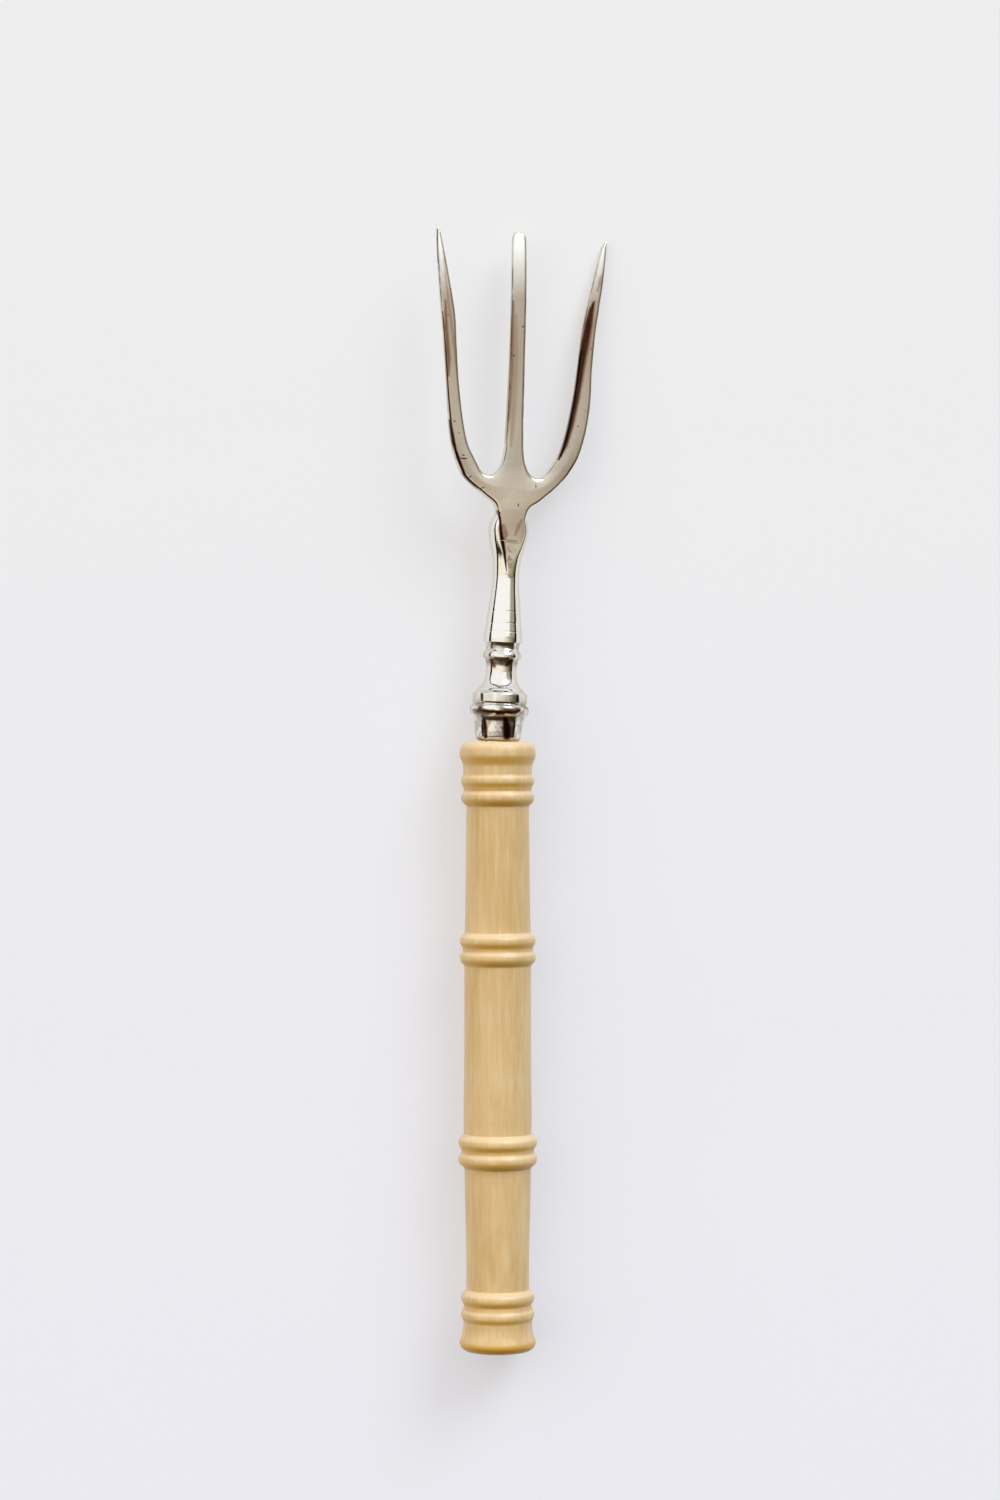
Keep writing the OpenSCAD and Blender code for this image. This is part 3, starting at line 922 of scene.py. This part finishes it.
# The net: rings of points inside the outline, more along the finest strokes, and a grid over the rest.
inside = []
for depth in head["rings"]:
    for i, (x, y) in enumerate(edgeLoop):
        before, after = edgeLoop[i - 1], edgeLoop[(i + 1) % edgeCount]
        dx, dy = after[0] - before[0], after[1] - before[1]
        long = math.hypot(dx, dy)
        point = (x - dy / long * depth, y + dx / long * depth)
        if inFromEdge(point) > depth * head["ringShare"]:
            inside.append(point)
fine = head["fine"]
for _, line in head["strokes"]:
    if max(half for _, _, half in line) > fine["widest"]:
        continue
    for (ax, ay, ar), (bx, by, br) in zip(line, line[1:]):
        far = math.dist((ax, ay), (bx, by))
        parts = max(1, round(far / fine["spacing"]))
        for k in range(parts):
            t = (k + 0.5) / parts
            for off in fine["across"]:
                half = off * (ar + (br - ar) * t)
                x = ax + (bx - ax) * t - (by - ay) / far * half
                y = ay + (by - ay) * t + (bx - ax) / far * half
                point = onPlan(x, y)
                if inFromEdge(point) > fine["inset"]:
                    inside.append(point)
step = head["grid"]
row = 0
y = -head["tongue"]
while y < head["length"]:
    x = -head["width"] / 2 + (step / 2 if row % 2 else 0)
    while x < head["width"] / 2:
        if inFromEdge((x, y)) > head["rings"][-1] + head["gridGap"]:
            inside.append((x, y))
        x += step
    y += step * head["gridRows"]
    row += 1
flat = [Vector(p) for p in edgeLoop + inside]
outlineOnly = [list(range(edgeCount))]
netPoints, _, netFaces, sources, *_ = delaunay_2d_cdt(flat, [], outlineOnly, 1, head["weld"])


def scoopAt(x, y):
    # 1 at the bottoms of the two slots, where the file was rolled over the edge, and 0 away from them
    part = 1 - math.hypot(abs(x) - head["scoopAt"][0], y - head["scoopAt"][1]) / head["scoopReach"]
    return clipped(2 * part)


def headPoint(x, y, side, depth):
    # a point of the head's upper or lower skin, this far in from its outline; the tongue's edges are crisp
    share = y / head["length"]
    thick = thinned(share) / 2
    crisp = clipped(-y / head["crisp"]["long"])
    scoop = scoopAt(x, y)
    drop = head["edgeDrop"] + (head["scoopDrop"] - head["edgeDrop"]) * scoop
    drop = min(drop, thick * head["dropMost"]) * (1 - head["crisp"]["drop"] * crisp)
    reach = (head["edge"] + (head["scoop"] - head["edge"]) * scoop) * (1 - head["crisp"]["reach"] * crisp)
    fall = drop * (1 - math.sqrt(max(1 - (1 - depth / reach) ** 2, 0))) if depth < reach else 0
    fall = min(fall + head["crown"] * math.exp(-depth / head["crownReach"]), thick * head["fallMost"])
    z = bent(share) + side * (thick - fall)
    return leaning @ Vector((x - head["off"], stemEnd + y, z))


def rimAt(x, y, depth):
    # how plainly the thin dark line just inside the outline shows, a painted dark reflection along the edge
    rim = head["rim"]
    across = clipped(depth / rim["start"]) * clipped((rim["end"] - depth) / rim["fade"])
    along = clipped(1 + y / rim["neck"])
    along *= clipped(rim["atPalm"] - rim["fall"] * y / head["length"], rim["least"])
    return across * along * (1 - scoopAt(x, y))


points, faces, depths, rims, headGrimeAndReflection = [], [], [], [], []
netCount = len(netPoints)
isEdge = [any(j < edgeCount for j in source) for source in sources]
for side in (1, -1):
    for i, p in enumerate(netPoints):
        depth = 0.0 if isEdge[i] else max(inFromEdge(p), 0.0)
        point = headPoint(p.x, p.y, side, depth)
        points.append(point)
        depths.append(depth)
        rims.append(rimAt(p.x, p.y, depth))
        headGrimeAndReflection.append(grimeAndReflectionAt(point.x, point.y, head["strokes"]) if side > 0 else 0)
for face in netFaces:
    faces.append(tuple(face))
    faces.append(tuple(i + netCount for i in reversed(face)))
uses = {}
for face in netFaces:
    for a, b in zip(face, list(face[1:]) + [face[0]]):
        uses.setdefault((min(a, b), max(a, b)), []).append((a, b))
for found in uses.values():
    # a side that only one face uses lies on the outline, and gets a wall between the two skins
    if len(found) == 1:
        a, b = found[0]
        faces.append((b, a, a + netCount, b + netCount))
marks = {"inFromEdge": depths, "rim": rims, "grime": headGrimeAndReflection}
forkHead = addPiece("threeTineHead", points, faces, head["sharp"], marks)
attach(forkHead, "root")
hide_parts("fork_head")
print("head filed:", len(forkHead.data.vertices), "points")

# Finishes. A noise is its scale, detail, roughness and distortion, after its scale on each axis if it is
# streaked. A change is given as for the room, and a bump is its strength and its distance in metres.
wood = {
    "pale": tone(235, 206, 156), "body": tone(226, 192, 137), "streak": tone(214, 176, 116),
    # The next line's tones are painted shade: in the grooves, under the rings, and deepest at the butt's
    # edge.
    "groove": tone(205, 160, 92), "pool": tone(219, 172, 74), "deepShade": tone(196, 142, 36),
    # The rubbed tone lightens the turning ticks, and also paints the highlight on ring sides facing the
    # tines.
    "patch": tone(206, 167, 104), "rubbed": tone(240, 217, 180),
    "noises": {
        "grain": ((1500, 120, 1500), 1.0, 4.0, 0.6), "broad": ((180, 42, 180), 1.0, 3.0, 0.55, 0.4),
        "patches": ((300, 120, 300), 1.0, 4.0, 0.65, 0.3), "pores": ((5200, 260, 5200), 1.0, 2.0, 0.5),
        "lathe": ((60, 3800, 60), 1.0, 2.0, 0.5), "ticks": ((6500, 200, 6500), 1.0, 1.0, 0.5),
    },
    "streaks": (0.3, 0.7),
    "layers": [
        ("grain", (0.35, 0.8, 0.0, 0.7), "pale"), ("patches", (0.5, 0.74, 0.0, 0.5), "patch"),
        ("pores", (0.6, 0.76, 0.0, 0.5), "patch"),
    ],
    "tickRows": [(82.5, 1.1), (39, 2.6), (48, 2.2)], "tickEdge": (0.42, 0.66), "tickShare": 0.26,
    "grooved": (0.1, 0.5, 0.0, 0.48), "pooled": (0.05, 0.6, 0.0, 0.9), "undersideShadeLeast": 0.8, "undersideShadeBroad": 0.4,
    "deepShaded": (0.9, 1.4), "upper": (0.2, 0.8, 0.0, 0.5),
    "rough": 0.42, "grainRough": 0.14, "patchRough": 0.1, "grainHigh": 0.5, "latheHigh": 0.35,
    "poreDeep": 0.6, "poreEdge": (0.66, 0.78), "bump": (0.35, 0.00004),
    "varnish": 0.42, "varnishRough": 0.32, "refraction": 1.48,
}
varnishedWood, maker, shader = newSurface("varnishedWood")
spot = place(maker)
noise = {name: spot.streaked(*settings) for name, settings in wood["noises"].items()}
hollow, pooled = marked(maker, "hollow"), marked(maker, "pooled")
colour = noise["broad"].eased(*wood["streaks"]).blended(wood["streak"], wood["body"])
for name, change, shade in wood["layers"]:
    colour = noise[name].eased(*change).blended(colour, wood[shade])
upHandle = spot.facing(0, 1, 0)
ticks = noise["ticks"].eased(*wood["tickEdge"])
for middle, reach in wood["tickRows"]:
    low, high = (middle - reach) * mm, (middle + reach) * mm
    rows = upHandle.eased(low, middle * mm) * upHandle.eased(high, middle * mm)
    colour = (wood["tickShare"] * rows * ticks).blended(colour, wood["rubbed"])
# Painted shade: the grooves between the rings darken towards the groove tone.
colour = hollow.eased(*wood["grooved"]).blended(colour, wood["groove"])
# Painted shade under the rings, deepest at the butt's edge.
undersideShadeAmount = pooled.eased(*wood["pooled"]) * (wood["undersideShadeLeast"] + wood["undersideShadeBroad"] * noise["broad"])
colour = undersideShadeAmount.blended(colour, wood["pool"])
colour = pooled.eased(*wood["deepShaded"]).blended(colour, wood["deepShade"])
# Painted highlight on the sides of the rings that face the tines.
colour = (0 - pooled).eased(*wood["upper"]).blended(colour, wood["rubbed"])
rough = wood["rough"] + wood["grainRough"] * (noise["grain"] - 0.5) + wood["patchRough"] * noise["patches"]
relief = wood["grainHigh"] * noise["grain"] + wood["latheHigh"] * noise["lathe"]
relief = relief - wood["poreDeep"] * noise["pores"].eased(*wood["poreEdge"])
dressed(shader, colour, rough, relief, *wood["bump"])
shader.inputs["Coat Weight"].default_value = wood["varnish"]
shader.inputs["Coat Roughness"].default_value = wood["varnishRough"]
shader.inputs["IOR"].default_value = wood["refraction"]

# Grime and painted reflection run from a faint brown tarnish to black as they get heavier.
grimeAndReflectionTones = [
    (0.0, (1, 1, 1, 1)), (0.3, tone(220, 202, 188)), (0.58, tone(160, 122, 106)), (0.8, tone(96, 64, 54)),
    (0.96, tone(24, 26, 20)),
]


def withGrimeAndReflection(maker, colour, breakUp):
    # lays grime and painted reflection over a colour, and gives the colour and how much of it there is
    heavy = breakUp * marked(maker, "grime")
    darkening = maker.node("ShaderNodeValToRGB", {"stops": grimeAndReflectionTones}, {0: heavy})
    settings = {"data_type": "RGBA", "blend_type": "MULTIPLY"}
    return maker.node("ShaderNodeMix", settings, {0: 1.0, 6: colour, 7: darkening}, out=2), heavy


polish = {
    "bright": tone(243, 241, 235), "sides": tone(228, 219, 200), "upward": (0.2, 0.75),
    "stained": tone(112, 90, 58), "hollow": (0.03, 0.4), "stainLeast": 0.45, "stainSmears": 0.5,
    "worn": 0.8, "blotches": (620.0, 3.0, 0.6, 0.6), "blotchEdge": (0.38, 0.56),
    "smears": ((1, 0.4, 1), 900.0, 4.0, 0.6), "smearEdge": (0.45, 0.75), "waves": (420.0, 2.0, 0.5),
    "grimeAndReflectionLeast": 0.8, "grimeAndReflectionSmears": 0.4,
    "rough": 0.05, "smearRough": 0.07, "stainRough": 0.25, "grimeAndReflectionRough": 0.2,
    "smearHigh": 0.08, "bump": 0.6, "stemWave": 0.00005, "bolsterWave": 0.00016,
}


def polished(name, wave):
    # bright plated metal, darkened on its sides by painted shade, whose hand-polished surface is uneven by
    # the wave
    surface, maker, shader = newSurface(name, 1.0)
    spot = place(maker)
    smears = spot.streaked(*polish["smears"])
    blotches = spot.clouds(*polish["blotches"]).eased(*polish["blotchEdge"])
    stained = marked(maker, "hollow").eased(*polish["hollow"])
    stained = stained * (polish["stainLeast"] + polish["stainSmears"] * smears)
    stained = stained + polish["worn"] * marked(maker, "dulled") * blotches
    # Painted shade: faces turned away from straight up darken towards the tan sides tone.
    upward = maker.node("ShaderNodeTexCoord", out=1).facing(0, 0, 1)
    colour = upward.eased(*polish["upward"]).blended(polish["sides"], polish["bright"])
    breakUp = polish["grimeAndReflectionLeast"] + polish["grimeAndReflectionSmears"] * smears
    colour, grimeAndReflectionAmount = withGrimeAndReflection(maker, stained.blended(colour, polish["stained"]), breakUp)
    rough = polish["rough"] + polish["smearRough"] * smears.eased(*polish["smearEdge"])
    rough = rough + polish["stainRough"] * stained + polish["grimeAndReflectionRough"] * grimeAndReflectionAmount
    relief = spot.clouds(*polish["waves"]) + polish["smearHigh"] * smears
    dressed(shader, colour, rough, relief, polish["bump"], wave)
    return surface


polishedStem = polished("polishedStem", polish["stemWave"])
polishedBolster = polished("polishedBolster", polish["bolsterWave"])

# The head's face has painted reflection and shade: darker along the tines, bright at the neck and the tips.
satin = {
    "faces": [
        (118, tone(225, 215, 205)), (121, tone(240, 230, 215)), (126, tone(195, 185, 170)),
        (143, tone(175, 160, 140)), (150, tone(180, 165, 150)), (157.5, tone(250, 250, 245)),
    ],
    "edge": tone(226, 222, 208), "faceFrom": (0.08, 0.32),
    "rim": tone(96, 92, 70), "rimmed": (0.4, 0.6, 0.4, 0.9),
    "pit": tone(92, 76, 58), "pitScale": 620.0, "pitEdge": (0.06, 0.15), "pitWhere": (0.45, 0.57),
    "rubbed": ((1, 0.18, 1), 2600.0, 4.0, 0.6), "scratches": ((1, 0.05, 1), 4200.0, 2.0, 0.5),
    "dull": (300.0, 4.0, 0.6), "grimeAndReflectionLeast": 0.85, "grimeAndReflectionRubbed": 0.3,
    "rough": 0.16, "edgeRough": 0.07, "dullRough": 0.08, "rubbedRough": 0.05, "grimeAndReflectionRough": 0.12,
    "rubbedHigh": 0.3, "scratchHigh": 0.25, "dullHigh": 0.6, "pitDeep": 1.2, "bump": (0.5, 0.00003),
}
satinMetal, maker, shader = newSurface("satinMetal", 1.0)
spot = place(maker)
first, last = satin["faces"][0][0], satin["faces"][-1][0]
stops = [((y - first) / (last - first), shade) for y, shade in satin["faces"]]
upHead = (spot.facing(0, 1, 0) - first * mm) * (1 / (last - first) / mm)
# Painted reflection and shade: the face's tone changes along the head's length.
faceReflectionTone = maker.node("ShaderNodeValToRGB", {"stops": stops}, {0: upHead})
rubbed = spot.streaked(*satin["rubbed"])
scratches = spot.streaked(*satin["scratches"])
dull = spot.clouds(*satin["dull"])
cells = {"Vector": spot, "Scale": satin["pitScale"], "Randomness": 1.0}
pitted = maker.node("ShaderNodeTexVoronoi", {}, cells).eased(*satin["pitEdge"])
pits = (1 - pitted) * dull.eased(*satin["pitWhere"])
face = marked(maker, "inFromEdge").eased(*satin["faceFrom"])
colour = face.blended(satin["edge"], faceReflectionTone)
# Painted reflection: a thin dark line just inside the outline.
colour = (marked(maker, "rim") * dull.eased(*satin["rimmed"])).blended(colour, satin["rim"])
colour = pits.blended(colour, satin["pit"])
colour, grimeAndReflectionAmount = withGrimeAndReflection(maker, colour, satin["grimeAndReflectionLeast"] + satin["grimeAndReflectionRubbed"] * rubbed)
rough = satin["edgeRough"] + (satin["rough"] - satin["edgeRough"]) * face + satin["dullRough"] * (dull - 0.5)
rough = rough + satin["rubbedRough"] * (rubbed - 0.5) + satin["grimeAndReflectionRough"] * grimeAndReflectionAmount
relief = satin["rubbedHigh"] * rubbed + satin["scratchHigh"] * scratches + satin["dullHigh"] * dull
dressed(shader, colour, rough, relief - satin["pitDeep"] * pits, *satin["bump"])

grip.data.materials.append(varnishedWood)
turnedBolster.data.materials.append(polishedBolster)
turnedStem.data.materials.append(polishedStem)
forkHead.data.materials.append(satinMetal)

# What joins the pieces is two tones in small lumps, and rougher by the second number on its pale ones.
joining = {
    "braze": {
        "surface": "silverSolder", "metallic": 1.0, "dark": tone(120, 112, 98), "pale": tone(206, 202, 192),
        "lumps": (1400.0, 4.0, 0.6), "mixed": (0.35, 0.65), "rough": (0.3, 0.2), "bump": (0.6, 0.00005),
    },
    "cement": {
        "surface": "handleCement", "metallic": 0.0, "dark": tone(146, 126, 90), "pale": tone(196, 178, 140),
        "lumps": (2200.0, 4.0, 0.65), "mixed": (0.35, 0.65), "rough": (0.75, 0.2), "bump": (0.5, 0.00005),
    },
}
for node, look in joining.items():
    surface, maker, shader = newSurface(look["surface"], look["metallic"])
    lumps = place(maker).clouds(*look["lumps"])
    colour = lumps.eased(*look["mixed"]).blended(look["dark"], look["pale"])
    dressed(shader, colour, look["rough"][0] + look["rough"][1] * lumps, lumps, *look["bump"])
    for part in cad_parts[node].material_slots:
        part.material = surface
print("finishes laid on")
